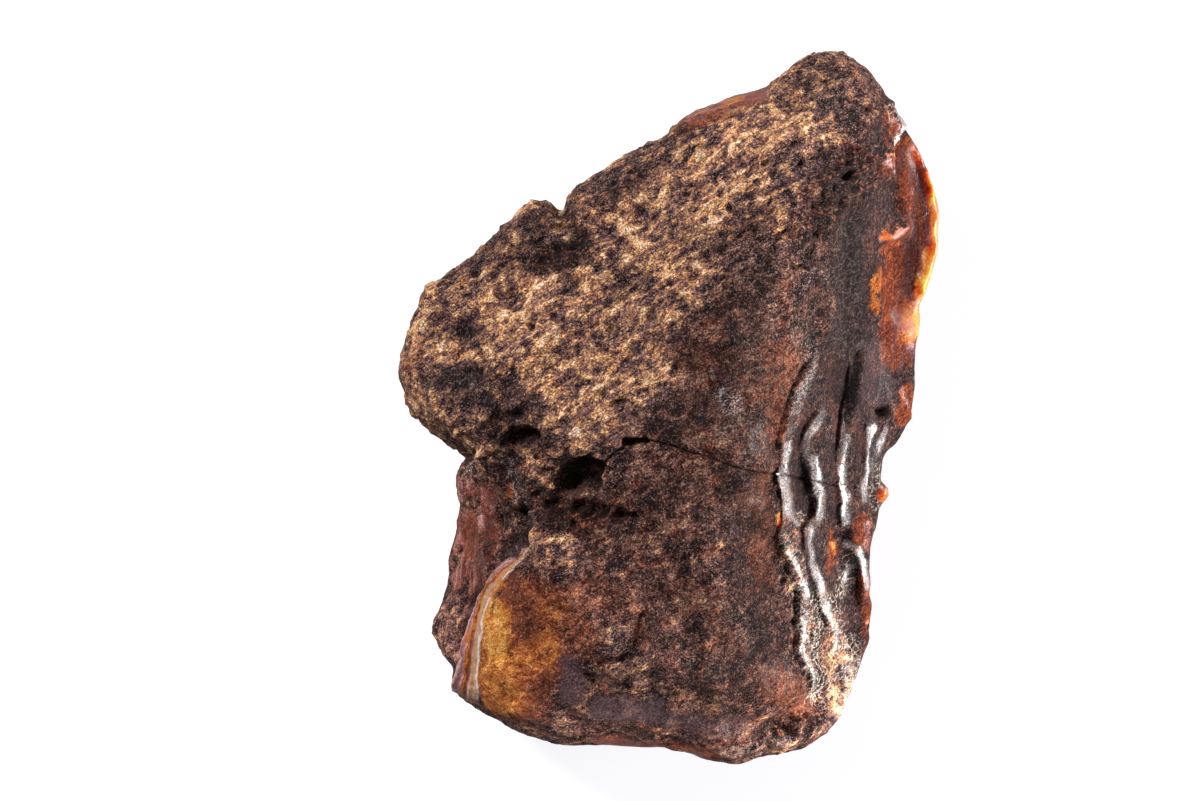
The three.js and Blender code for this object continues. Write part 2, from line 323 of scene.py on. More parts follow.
        ([(13.4, -20), (13, -25)], 1.2, 0.7), ([(16.6, -24), (17.2, -30)], 1.7, 0.9),
        ([(12.2, -12.4), (13.2, -17)], 0.6, 0.7), ([(15.4, -18), (16.4, -22)], 0.7, 0.6),
        ([(6.4, -20), (7.4, -22.4)], 1.4, 0.55),
        ([(-8, -19), (-5.4, -22.6)], 1.6, 0.4), ([(2, -14), (4, -16)], 1.6, 0.3),
        ([(-22.8, -21), (-22.8, -24.6)], 1.3, 0.55),
        ([(4.6, 1.8), (6, -0.6)], 1, 0.6), ([(-12.4, -7), (-12, -9)], 0.9, 0.6),
        ([(15, -31.4), (9, -34)], 1.2, 0.5),
        ([(-20.8, -5.4), (-21, -9)], 0.6, 0.5), ([(-15, -29.4), (-11, -31.6)], 1.4, 0.35),
    ],
    "clear": [          # bare amber
        ([(24.9, 25.2), (26, 23), (26.8, 20.6), (27, 18.6), (26.6, 16), (26.2, 13), (25.3, 10),
          (24.8, 7)], 1.5, 1.0),
        ([(20.8, 16.9), (22, 17.3), (23.3, 18.3)], 0.5, 0.9), ([(22.9, 9.4), (23.9, 7.6)], 0.8, 0.7),
        ([(21.3, 24.9)], 0.35, 1.0), ([(22, 28.8), (22.2, 27.6)], 0.3, 0.8),
        ([(20.9, 24.3), (21.6, 23.6)], 0.4, 0.9), ([(0.8, 28.8), (4.5, 30.6), (9, 31.8)], 1.0, 1.0),
        ([(-7, -34), (-1, -34.5), (3, -35.2)], 0.8, 1.0), ([(21.3, -8.4)], 0.8, 1.0),
        ([(20.1, -21.9)], 0.4, 1.0),
        ([(19.1, -18.3)], 0.3, 1.0), ([(16.2, -13.7)], 0.3, 1.0),
        ([(10.2, -10.5), (10.4, -11.1)], 0.26, 1.0),
        ([(12.9, -29.3)], 0.2, 0.8), ([(10.4, -25.7), (10.4, -28.6)], 0.15, 0.8),
        ([(-15.8, -15.8), (-16.8, -17.4), (-17.6, -18.6), (-18.4, -20), (-19.4, -21.8), (-20.4, -24)],
         0.16, 0.6),
        ([(-18.2, -12.2), (-18.2, -13)], 0.4, 0.8), ([(-18.4, -8.6)], 0.5, 0.6),
        ([(19.8, -11.8), (19.7, -14.2)], 0.5, 0.6),
        ([(23.8, 0.2), (23.2, 1.6)], 0.5, 0.6), ([(-17.2, -22.6), (-17.8, -24.4)], 0.5, 0.4),
    ],
    "gold": [          # where amber colour is golden, and not red
        ([(26, 23), (26.9, 19.4), (26.6, 16)], 0.8, 1.0), ([(26, 15), (25.4, 11), (24.6, 8)], 1.1, 1.2),
        ([(20.7, 14), (20, 12), (19.8, 9)], 0.6, 0.5), ([(23.8, 9.8), (23.8, 7.4)], 1.0, 0.8),
        ([(24, 26.6), (24.6, 25)], 0.6, 0.4),
        ([(21.3, 25.4)], 0.6, 0.9), ([(21.5, -8.8)], 0.8, 0.8), ([(10.3, -10.4), (10.6, -11.3)], 0.4, 0.9),
        ([(-17.6, -19.8), (-17.2, -24.4)], 1.5, 1.05), ([(-17.2, -26), (-16.6, -29)], 2.4, 0.7),
        ([(-15, -25), (-12.4, -23.8)], 2.2, 0.55), ([(-12.4, -19), (-11, -20.6)], 1.4, 0.4),
        ([(-14, -23.6), (-12, -23.8)], 1.6, 0.3),
        ([(-15.8, -15.8), (-17.6, -18.6), (-20.4, -24)], 0.4, 0.7),
        ([(2.4, 29.4), (7, 31)], 0.4, 0.6), ([(16.2, -13.7)], 0.4, 0.8), ([(20.1, -21.9)], 0.4, 0.6),
        ([(-16.2, -8.4)], 0.7, 0.5), ([(20.8, 17), (23.3, 18.3)], 0.5, 0.4),
    ],
    "haze": [          # thin crust with amber colour shining through
        ([(-18, -19.5), (-17.6, -24.6), (-17.4, -29.4)], 1.9, 1.0),
        ([(-15, -19), (-13.6, -24), (-14.6, -28.6)], 3, 0.95),
        ([(-10.4, -19.4), (-9, -22.4)], 2.6, 0.5), ([(-15.6, -17.4), (-12, -18)], 1.6, 0.45),
        ([(8.4, -7), (8.6, -14)], 1.4, 0.5),
        ([(-15.6, -20), (-14, -18.4)], 1.6, 0.6), ([(-12, -20.6), (-10, -21.6)], 1.4, 0.5),
        ([(-13.6, -27), (-14.6, -30)], 2, 0.6), ([(11.5, 4.6), (10.2, -2)], 1.6, 0.6),
        ([(9.4, -12.6), (9, -17)], 1.4, 0.5),
        ([(22.4, 15.8), (22.8, 5.6)], 2.1, 1.0), ([(23.6, 26.2), (24.6, 21), (24.8, 15)], 1.5, 1.0),
        ([(24, 1.6), (23.6, -1)], 1.1, 0.9), ([(-20.8, -10.6), (-20.8, -14)], 1, 0.8),
        ([(-18.4, -8), (-18.3, -9.2)], 0.8, 0.7), ([(-16.2, -8), (-16.2, -8.8)], 0.6, 0.8),
        ([(-18.2, -11.6), (-18, -13.6)], 0.8, 1.0),
        ([(9.6, -27), (12.4, -29.4)], 2, 0.6), ([(-26, 7), (-26.2, 4)], 1.1, 0.5),
        ([(-25.8, 1.6), (-25.2, 0)], 0.8, 0.5),
        ([(-6, -33.6), (4, -34.8)], 1.1, 0.9), ([(21.4, 29.4), (21.8, 27), (21.2, 23.6)], 0.7, 0.5),
        ([(-8, -17), (-4.6, -19.6)], 2, 0.35),
        ([(18.8, -11.8), (19, -14)], 1, 0.8), ([(19.6, -17), (20, -23)], 0.8, 0.8),
        ([(15.6, -22.4), (14.8, -26)], 0.9, 0.4),
        ([(1, 28), (8.6, 31)], 1.1, 0.9), ([(2, 6), (7, 3), (8, -3)], 2.6, 0.3),
        ([(9.6, 5.4), (9.9, 0)], 1.5, 0.6), ([(-11.6, -20.3)], 0.9, 0.7),
        ([(21, 15), (20.2, 13)], 0.5, 0.6), ([(20.2, 12.4), (19.9, 10)], 0.6, 0.75),
        ([(16, -16), (16.2, -12.6)], 0.5, 0.6),
    ],
    "mauve": [          # smooth violet-brown skin with no grains
        ([(-10.4, -25), (-9.8, -28)], 1.6, 1.0), ([(10, -26.4), (12.4, -29)], 1.8, 0.35),
        ([(4, -1), (8, -3)], 1.6, 0.4), ([(-7, -29.6), (-2, -30)], 1.7, 0.95),
        ([(0, -31), (7, -31.6)], 1.5, 0.75), ([(20, 5.4), (20.6, 1.6)], 1.6, 0.4),
        ([(-18.4, -14), (-19.2, -17.6)], 0.8, 0.4), ([(-7, -26.4), (-6.2, -27.4)], 0.8, 0.7),
        ([(-15.8, -13), (-15.4, -14.6)], 0.7, 0.9), ([(2, -12), (7, -9)], 2, 0.3),
        ([(24.4, 21.6), (24.6, 16.4)], 0.6, 0.8),
        ([(-22, 4.4), (-19, 2)], 1.2, 0.25), ([(3.6, -26), (4.4, -28.6)], 1.6, 0.55),
        ([(-13.6, -30), (-9, -31)], 1.4, 0.4),
    ],
    "paler": [          # where every colour is lighter: painted light on the low band that curves away from the lamps, and lighter patches elsewhere
        ([(-19, -28.6), (-12, -31.4), (-4, -31.6), (4, -33), (12, -32), (16, -29.6)], 2.4, 0.9),
        ([(17.4, -24.6), (17.8, -29)], 1.0, 0.5), ([(-10, -19.4), (-8, -23)], 2.6, 0.4),
        ([(-15.6, -26), (-15.6, -29)], 2.4, 0.5), ([(-6, -34.4), (3, -35.2)], 0.8, 1.0),
        ([(4, 24.4), (9, 27.6)], 2.6, 0.25), ([(15.6, -14), (16.6, -22)], 1.4, 0.4),
        ([(-16, 8), (-9, 13)], 2.6, 0.15),
        ([(-23, -19), (-22.4, -26)], 1.4, 0.4),
    ],
    "laced": [          # fine net of raised lines, painted pale as highlight
        ([(16.4, 21), (17, 14), (17, 6)], 2, 0.1), ([(13, 9), (12, 2)], 1.4, 0.25),
        ([(8, 4), (7, -3)], 3, 0.14),
        ([(21.8, 30), (22.6, 27.6), (22, 24.4)], 0.6, 0.9),
        ([(11.6, -13), (12.6, -17), (13, -19)], 0.8, 0.8),
        ([(13.8, -19.6), (13.9, -23), (14.4, -26), (15, -28.6)], 1.5, 1.0),
        ([(17.4, -24), (17.9, -27), (17.6, -30)], 1.5, 1.0), ([(15.6, -19.6), (16.8, -23.6)], 1.2, 0.8),
        ([(14.6, -8), (14.8, -10.6)], 0.7, 0.5),
        ([(12.8, -10.6), (13.4, -12.4)], 0.6, 0.6), ([(18.2, -15), (17, -18.4)], 0.7, 0.7),
        ([(20.4, -6), (20.4, -9.4)], 0.7, 0.7),
    ],
    "pinkish": [          # smooth pinkish layer behind, on the left
        ([(-20.8, -8), (-21, -17)], 1.7, 1.0), ([(-21.4, -19), (-22, -26)], 1.4, 0.35),
        ([(-18.8, -9), (-18.8, -13), (-19.6, -17)], 1.1, 0.8),
    ],
    "streaky": [          # where that colour runs in streaks down the lump
        ([(24.4, 27), (25.4, 20), (24.4, 4)], 2.2, 0.8), ([(-18.4, -7), (-18.2, -13.4)], 1.1, 0.8),
    ],
    "dusty": [          # pale grey dust and net, and painted highlight along sharp flake edges and the raised threads low on the flank
        ([(-16, -6), (-14.2, -10.6)], 0.9, 0.4), ([(4.8, 1.4), (6, 0.2)], 0.8, 1.1),
        ([(3.8, 3.6)], 0.5, 0.8), ([(14, 6), (11.8, 0)], 0.8, 0.4),
        ([(12.4, 12), (14.8, 13.4)], 0.9, 0.15), ([(5, -34.4), (12, -33)], 0.7, 0.3),
        ([(-19.2, -5), (-20, -7.4), (-20, -9), (-19.4, -11)], 0.22, 1.0),
        ([(21.7, 23.4), (22.2, 25.5), (22.6, 26.8), (22.8, 28.6), (22.3, 30.5)], 0.3, 0.9),
        ([(18.2, -25.6), (18.2, -29.2)], 0.8, 0.5),
        ([(13.6, -19.6), (13.5, -26)], 0.9, 0.3),
    ],
    "shade": [          # dark smudges, partly painted shade: in the valleys between the folds, on the ledge under the holes, and on the right of the front and the upper flank where the lamps fall strongly; elsewhere darker crust
        ([(-22, 2.4), (-18, 1.4), (-14.4, -1)], 2.4, 0.6),
        ([(-22, 13.6), (-16, 17.4), (-10, 19.6), (-5, 22.6), (1, 27)], 1.5, 0.45),
        ([(1, 6), (4, 4.4)], 2.4, 0.5), ([(6, 12), (10, 13.4)], 2, 0.4), ([(0, -1), (7, 1)], 3, 0.5),
        ([(13, 33), (17, 30)], 3.4, 0.25), ([(0, -18), (6, -24)], 3, 0.25),
        ([(-11.6, -8.9), (-7, -9.2)], 0.8, 0.8),
        ([(16, 24), (16.6, 16)], 2.4, 0.8), ([(14, 12), (14.6, 5)], 1.8, 0.4),
        ([(6, -20), (8, -26)], 1.6, 0.3),
        ([(-13.4, 14.4), (-9, 16)], 1.6, 0.9), ([(16.6, 23), (17.4, 18), (17.6, 8), (17, 2)], 1.9, 1.15),
        ([(-19, -2), (-12.5, -3.6)], 1.2, 0.75),
        ([(-13.4, -9), (-11, -10.6), (-6, -11)], 1.7, 0.7), ([(8, -5), (8.6, -14), (8, -25)], 3.4, 0.6),
        ([(7, 9), (8, 0)], 3.4, 0.6),
        ([(-18.4, -12.6), (-19.6, -17.6), (-21, -22)], 0.8, 0.9), ([(12.4, -2), (12.6, -10)], 0.9, 0.6),
        ([(14, -31.4), (9, -32.6)], 1, 0.6), ([(0, -8), (6, -7)], 2, 0.3),
        ([(-18, 14), (-14, 16)], 1.2, 0.5), ([(-23, 9), (-20, 7)], 1.4, 0.4),
        ([(4, 15.6), (9, 19)], 1.2, 0.35),
        ([(-2.6, -21), (-2, -26)], 0.9, 0.45), ([(-6, 11), (-3, 12.6)], 1, 0.4),
        ([(2, 8), (8, 12)], 1.4, 0.3), ([(12, 16), (15, 22)], 1.6, 0.45),
        ([(-14.4, -21.7)], 1, 0.5), ([(18.6, 4), (20.4, 2)], 1.2, 0.5),
        ([(12.6, -5), (12.7, -9)], 0.8, 0.6), ([(15.8, -4), (15.9, -10)], 0.7, 0.5),
        ([(18.5, -3), (18.4, -7)], 0.6, 0.6), ([(12.2, -12.6), (13, -16)], 0.6, 0.5),
        ([(15.6, -15), (16.6, -19)], 0.8, 0.6),
    ],
}


def roundedCopy(node):          # smoothed and evenly remeshed copy of the solid
    shape = bmesh.new()
    shape.from_mesh(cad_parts[node].data)
    bmesh.ops.remove_doubles(shape, verts=shape.verts, dist=0.001 * mm)
    mesh = bpy.data.meshes.new("amberRough")
    shape.to_mesh(mesh)
    shape.free()
    rough = bpy.data.objects.new("amberRough", mesh)
    bpy.context.scene.collection.objects.link(rough)
    rounding = rough.modifiers.new("rounding", "SUBSURF")
    rounding.levels = rounding.render_levels = 2
    remesh = rough.modifiers.new("remesh", "REMESH")
    remesh.mode = "VOXEL"
    remesh.voxel_size = lump["voxel"]
    remesh.use_smooth_shade = True
    fine = bpy.data.meshes.new_from_object(rough.evaluated_get(bpy.context.evaluated_depsgraph_get()))
    bpy.data.objects.remove(rough)
    bpy.data.meshes.remove(mesh)
    return fine


def refine(shape, faces):          # halves the faces
    edges = {edge for face in faces for edge in face.edges}
    bmesh.ops.subdivide_edges(shape, edges=list(edges), cuts=1, use_grid_fill=True)
    odd = [face for face in shape.faces if len(face.verts) > 4]
    bmesh.ops.triangulate(shape, faces=odd)


def refineUpper(mesh):          # finer faces over the upper side, and finer again beside the crack
    shape = bmesh.new()
    shape.from_mesh(mesh)
    bmesh.ops.smooth_vert(shape, verts=shape.verts, factor=0.5,
                          use_axis_x=True, use_axis_y=True, use_axis_z=True)
    refine(shape, [face for face in shape.faces if face.normal.z > lump["upperTilt"]])
    points = np.array([vertex.co for vertex in shape.verts]) / mm
    beside = np.abs(fromRun(points, lump["crack"])) < lump["crackReach"]
    beside &= points[:, 2] > lump["crackLow"]
    shape.verts.ensure_lookup_table()
    refine(shape, {face for index in np.flatnonzero(beside) for face in shape.verts[index].link_faces})
    shape.to_mesh(mesh)
    shape.free()


def readPoints(mesh):          # places and normals, in millimetres
    count = len(mesh.vertices)
    points = np.empty(count * 3)
    normals = np.empty(count * 3)
    mesh.vertices.foreach_get("co", points)
    mesh.vertices.foreach_get("normal", normals)
    return points.reshape(-1, 3) / mm, normals.reshape(-1, 3)


def findZones(points, normals):          # how the skin varies over the lump, each from 0 to 1
    upper = smooth(normals[:, 2], -0.3, 0.2)
    wobble = points + 0.5 * np.column_stack([grain(points, 1.8, 3, shift) for shift in (5, 15, 25)])
    zones = {name: upper * strokes(wobble, lump[name])
             for name in ("clear", "gold", "haze", "mauve", "pinkish", "paler", "streaky", "dusty", "shade",
                          "laced", "rough")}
    broken = np.clip(0.75 + 1.4 * grain(points, 2.6, 3, shift=41) + smooth(normals[:, 2], 0.3, 0.7), 0, 1)
    zones["haze"] *= broken          # patches on the sides are ragged
    zones["pinkish"] *= broken
    longFace = smooth(fromRun(points, lump["crest"]) + 3 * grain(points, 6, 3, shift=3), -4.5, 3)
    flank = smooth(-fromRun(wobble, lump["flankEdge"]), -0.4, 1.2) * smooth(points[:, 1], -33, -28)
    hidden = smooth(grain(points, 8, 3, shift=11), -0.3, 0.4)
    ochre = np.maximum((0.85 * longFace + 0.08) * (1 - 0.8 * flank), strokes(wobble, lump["ochre"]))
    ochre = upper * ochre + (1 - upper) * 0.7 * hidden
    zones["ochre"] = ochre * (1 - 0.8 * zones["mauve"]) * (1 - 0.6 * zones["shade"])
    patches = grain(points, 7, 3, shift=21) + 0.4 * grain(points, 1.6, 3, shift=31)
    under = (1 - upper) * smooth(patches, 0.15, 0.6)
    zones["clear"] = np.maximum(zones["clear"], 0.6 * under * smooth(points[:, 2], 1, 4))
    zones["haze"] = np.maximum(zones["haze"], 0.8 * under)
    zones["flank"] = flank * upper
    zones["longFace"] = longFace * upper
    zones["fan"], zones["flute"] = acrossFan(points)
    zones["fan"] = zones["fan"] * upper
    return zones


def acrossFan(points):          # 1 within the fan of flutes, and the share of the way across it
    fan = lump["fan"]
    fromLeft = -fromRun(points, fan["left"])
    fromRight = fromRun(points, fan["right"])
    inside = smooth(fromLeft, -0.1, 0.1) * smooth(fromRight, -0.1, 0.1) * smooth(points[:, 1], -30, -28)
    return inside, np.clip(fromLeft / np.maximum(fromLeft + fromRight, 0.01), 0, 1)


def foldLift(points, normals):          # the folds' height, straight up, and 1 on their bright slopes
    lift = np.zeros(len(points))
    bright = np.zeros(len(points))
    wavy = points + 0.2 * grain(points, 1.6, 2, shift=6)[:, None]
    uneven = 1 + 0.4 * grain(points, 3, shift=16)
    for run, reach, height in lump["folds"]:
        offset, along, total = follow(wavy, run)
        rising = np.clip((offset + reach + 0.6) / reach, 0, 1) ** 1.3
        falling = 1 - smooth(offset, 0.4, 1.0)
        ends = smooth(along, 0, 2.5) * smooth(total - along, 0, 2)
        lift += height * uneven * ends * rising * falling
        bright = np.maximum(bright, 0.06 * ends * np.exp(-(offset / 0.5) ** 4))
    patchy = np.clip(0.9 + 0.7 * grain(points, 1.2, 2, shift=26), 0.2, 1)
    bright = np.maximum(bright, strokes(wavy, lump["shine"]) * patchy)
    upper = smooth(normals[:, 2], 0, 0.4)
    return lift * upper, bright * upper


def worn(points):          # pushed about, so that the holes' edges are ragged
    return points + 0.5 * np.column_stack([grain(points, 1.5, 3, shift) for shift in (13, 23, 33)])


def fromCrack(points):          # distance to the crack, which wanders a little
    return fromRun(points + 0.07 * grain(points, 0.7, shift=9)[:, None], lump["crack"])


def crumble(points, zones, upper):          # crumbs, pits and loose grains
    smoothSkin = np.clip(zones["flank"] * 0.85 + zones["mauve"] * 0.6 + zones["clear"] * 0.7, 0, 0.92)
    coarse = np.clip(0.35 + 0.75 * zones["ochre"], 0, 1) * (1 - smoothSkin)
    pits = smooth(0.36 - cells(points, 1.5), 0, 0.25) * smooth(grain(points, 3, shift=8), 0, 0.5)
    crumbled = 0.34 * grain(points, 0.9, 3, shift=2) + 0.3 * grain(points, 2.4, 2, shift=7) - 0.5 * pits
    # for the material too, which paints shade into the low places
    zones["relief"] = smooth(crumbled, -0.5, 0.4)
    rise = 0.5 * grain(points, 4.2, 2, shift=1) * (0.4 + 0.6 * coarse) + crumbled * coarse
    rise += 0.8 * grain(points, 0.8, 2, shift=14) * upper * strokes(points, lump["rough"])
    return rise + 0.26 * grain(points, 1.9, 2, shift=18) * upper * (1 - coarse) * (1 - zones["flank"])


def bedding(points):          # ridges along the bedding of the long face
    turn = math.radians(lump["beddingTurn"])
    along = points[:, 0] * math.cos(turn) + points[:, 1] * math.sin(turn)
    across = points[:, 1] * math.cos(turn) - points[:, 0] * math.sin(turn)
    return grain(np.column_stack([along * 0.18, across, points[:, 2] * 0.5]), 1.4, shift=4)


def threads(points):          # 1 on a net of lines
    gaps = np.array([np.subtract(*noise.voronoi(Vector(p))[0][1::-1]) for p in points / 0.9])
    return 1 - smooth(gaps, 0, 0.3)


def sculpt(points, normals, zones):          # how far each point moves out along its normal
    upper = smooth(normals[:, 2], -0.1, 0.35)
    rise = crumble(points, zones, upper)
    rim = 1 - smooth(normals[:, 2], 0.5, 0.9)
    for run, reach, height in lump["edgeBumps"]:
        rise += height * (1 - smooth(fromRun(points, run) / reach, 0, 1.5)) * rim
    rise += lump["beddingHeight"] * bedding(points) * zones["longFace"]
    rise += lump["threadHeight"] * upper * strokes(points, lump["veined"]) * threads(points)
    for run, reach, height in lump["swells"]:
        rise += upper * height * near(points, run, reach, 0, 1.5)
    for run, reach, drop in lump["scarps"]:
        offset = fromRun(points, run) / reach
        rise -= upper * drop * offset * np.exp(-(offset / 2) ** 2)
    for run, reach, height in lump["flakeEdges"]:
        offset = fromRun(points, run)
        rise += upper * height * np.exp(-np.abs(offset) / reach)
    turns = 2 * math.pi * lump["fan"]["count"] * zones["flute"] ** 1.2
    rise += lump["fan"]["height"] * zones["fan"] * (0.4 - np.cos(turns))
    ragged = worn(points)
    for run, reach, depth in lump["holes"]:
        rise -= upper * depth * near(ragged, run, reach, 0.1, 1.4)
    return rise - upper * lump["crackDepth"] * np.exp(-(fromCrack(points) / lump["crackWidth"]) ** 2)


def shadeInHollows(points):          # 1 deep in a hole or in the crack, where shade is painted
    depth = np.zeros(len(points))
    ragged = worn(points)
    for run, reach, drop in lump["holes"]:
        inside = near(ragged, run, reach, 0.2, 1.2)
        depth = np.maximum(depth, inside * min(1, 0.45 + 0.3 * drop))
    split = 1 - smooth(np.abs(fromCrack(points)), 0.03, 0.14)
    split *= 0.35 + 0.65 * smooth(points[:, 0], -5, -3.6)          # fainter at its left end
    return np.maximum(depth, split) * (points[:, 2] > lump["darkLow"])


def storeZone(mesh, name, values):          # kept on the mesh, for the material
    layer = mesh.attributes.new(name, "FLOAT", "POINT")
    layer.data.foreach_set("value", values.astype(np.float32))


finish = {
    # colours from dark to light: crumbly crust, the front's smoother crust, the flank's skin, the layer
    # behind on the left, amber that shines through thin crust, the fan from left to right, and bare amber
    "crumbs": [
        (0.10, (0.007, 0.004, 0.005)), (0.26, (0.040, 0.019, 0.021)), (0.40, (0.112, 0.055, 0.052)),
        (0.51, (0.220, 0.110, 0.080)), (0.61, (0.430, 0.210, 0.095)), (0.72, (0.720, 0.380, 0.150)),
        (0.88, (0.860, 0.700, 0.520)),
    ],
    "front": [
        (0.10, (0.007, 0.003, 0.003)), (0.34, (0.040, 0.011, 0.009)), (0.50, (0.100, 0.029, 0.020)),
        (0.66, (0.190, 0.076, 0.050)), (0.86, (0.380, 0.230, 0.150)),
    ],
    "skin": [
        (0.20, (0.003, 0.0015, 0.002)), (0.44, (0.009, 0.005, 0.006)), (0.58, (0.028, 0.013, 0.014)),
        (0.76, (0.130, 0.075, 0.060)),
    ],
    "layer": [
        (0.26, (0.050, 0.010, 0.009)), (0.42, (0.190, 0.040, 0.026)), (0.56, (0.320, 0.092, 0.070)),
        (0.76, (0.480, 0.270, 0.250)),
    ],
    "shining": [
        (0.08, (0.030, 0.006, 0.004)), (0.26, (0.130, 0.020, 0.006)), (0.44, (0.330, 0.066, 0.008)),
        (0.62, (0.640, 0.230, 0.025)), (0.85, (0.900, 0.560, 0.180)),
    ],
    "flutes": [
        (0.0, (0.640, 0.480, 0.480)), (0.05, (0.280, 0.110, 0.110)), (0.14, (0.400, 0.200, 0.200)),
        (0.19, (0.580, 0.380, 0.370)), (0.24, (0.260, 0.090, 0.080)), (0.34, (0.440, 0.240, 0.230)),
        (0.42, (0.120, 0.020, 0.012)), (0.46, (0.520, 0.140, 0.020)), (0.50, (0.140, 0.030, 0.015)),
        (0.60, (0.340, 0.150, 0.085)), (0.76, (0.440, 0.260, 0.150)), (0.90, (0.280, 0.140, 0.080)),
        (0.95, (0.720, 0.580, 0.500)), (1.0, (0.300, 0.160, 0.100)),
    ],
    "amber": [
        (0.10, (0.120, 0.008, 0.003)), (0.36, (0.360, 0.045, 0.005)), (0.60, (0.720, 0.210, 0.012)),
        (0.90, (1.000, 0.560, 0.080)),
    ],
    "redTint": (1.40, 0.74, 0.48),
    "violetTint": (0.80, 0.72, 0.92),
    "redSkin": (0.050, 0.014, 0.009, 1),
    "mauveSkin": (0.130, 0.072, 0.078, 1),
    "dullGlow": (0.280, 0.130, 0.080, 1),
    "violetStreak": (0.150, 0.070, 0.072, 1),
    # pale dust, also used for painted highlight
    "paleDustAndSheen": (0.500, 0.440, 0.420, 1),
    # painted shade, and darker crust
    "shadeAndDarkCrust": (0.012, 0.006, 0.006, 1),
    # painted shade deep in the holes and the crack
    "hollow": (0.013, 0.008, 0.008, 1),
    "ember": (0.420, 0.110, 0.035, 1),
    # painted highlight on the raised net
    "lace": (0.520, 0.440, 0.350, 1),
    # painted glint
    "fibre": (0.560, 0.370, 0.270, 1),
    "bumpDepth": 0.3 * mm,
    "refraction": 1.54,
    "crustGloss": 0.1,
    "foldCoat": 1.9,                          # refraction of the glossy coat on the folds
    "throughput": 0.5,                        # share of light that goes straight through bare amber
    "scatter": 3 * mm,
    "absorbed": (0.985, 0.92, 0.3, 1),        # the colour that depth gives to light in the amber
    "density": 900.0,
}


def speckle(tree, vector, perMetre, detail=2.0, twist=0.0, rough=0.6):
    return addNode(tree, "ShaderNodeTexNoise", {}, {"Vector": vector, "Scale": perMetre, "Detail": detail,
                                                    "Roughness": rough, "Distortion": twist})


def crumbs(tree, vector, perMetre, feature="F1"):
    return addNode(tree, "ShaderNodeTexVoronoi", {"feature": feature},
                   {"Vector": vector, "Scale": perMetre})


def tinted(tree, colour, tint):
    return addNode(tree, "ShaderNodeVectorMath", {"operation": "MULTIPLY"}, {0: colour, 1: tint})


def scaled(tree, colour, amount):
    return addNode(tree, "ShaderNodeVectorMath", {"operation": "SCALE"},
                   {"Vector": colour, "Scale": amount})


def readZones(tree):          # a wire for each zone that is stored on the mesh
    zone = SimpleNamespace()
    for name in ("ochre", "clear", "haze", "gold", "relief", "flank", "mauve", "dusty", "shade", "hollow",
                 "pinkish", "paler", "laced", "rough", "gloss", "netted", "streaky", "fan", "flute"):
        wire = addNode(tree, "ShaderNodeAttribute", {"attribute_name": name}, output="Fac")
        setattr(zone, name, wire)
    return zone


def makePatterns(tree, zone):          # speckles, crumbs and painted pale glints of every size
    pattern = SimpleNamespace()
    place = addNode(tree, "ShaderNodeTexCoord", output="Object")
    # patterns stretch along the bedding or down the lump, and are pushed about so that none runs straight
    bedded = addNode(tree, "ShaderNodeMapping", {"vector_type": "TEXTURE"}, {
        "Vector": place, "Rotation": (0, 0, math.radians(lump["beddingTurn"])), "Scale": (1.6, 1, 1)})
    down = addNode(tree, "ShaderNodeMapping", {"vector_type": "TEXTURE"},
                   {"Vector": place, "Scale": (1, 6, 1)})
    push = speckle(tree, place, 2500, 1).output("Color")
    warped = addNode(tree, "ShaderNodeVectorMath", {"operation": "MULTIPLY_ADD"},
                     {0: push, 1: (0.35 * mm, 0.35 * mm, 0.35 * mm), 2: bedded})
    pattern.layers = speckle(tree, tinted(tree, warped, (0.3, 1.1, 1)), 1300, 2)
    pattern.crumb = crumbs(tree, warped, 4600)
    pattern.crumbKind = pattern.crumb.output("Color")
    pattern.fine = speckle(tree, warped, 7000, 3, 0.3, 0.75)
    pattern.middle = speckle(tree, warped, 1500, 3, 0.3, 0.7)
    pattern.blotch = speckle(tree, place, 400, 2, 0.4)
    pattern.stain = speckle(tree, warped, 900, 1, 0.6)
    pattern.streak = speckle(tree, down, 1300, 2, 0.4)
    pattern.net = crumbs(tree, warped, 4200, "DISTANCE_TO_EDGE")
    # fine light and dark speckle: painted micro shading of the grains, also in the bump
    pattern.grit = ramp(tree, speckle(tree, place, 5600, 1), 0.34, 0.66)
    curl = speckle(tree, place, 3300, 1, 0.8)
    curls = ramp(tree, curl, 0.46, 0.5) * ramp(tree, 1 - curl, 0.46, 0.5)
    # thin curved lines, painted pale as glints off fine wrinkles
    pattern.fibres = curls * ramp(tree, pattern.middle + (pattern.grit - 0.5) * 0.3, 0.36, 0.6)
    cracks = ramp(tree, crumbs(tree, warped, 1500, "DISTANCE_TO_EDGE"), 0.02, 0.12)
    pattern.lace = zone.laced * (1 - cracks) * ramp(tree, curl, 0.38, 0.5)
    pattern.running = pattern.middle + zone.streaky * (pattern.streak - pattern.middle)
    return pattern


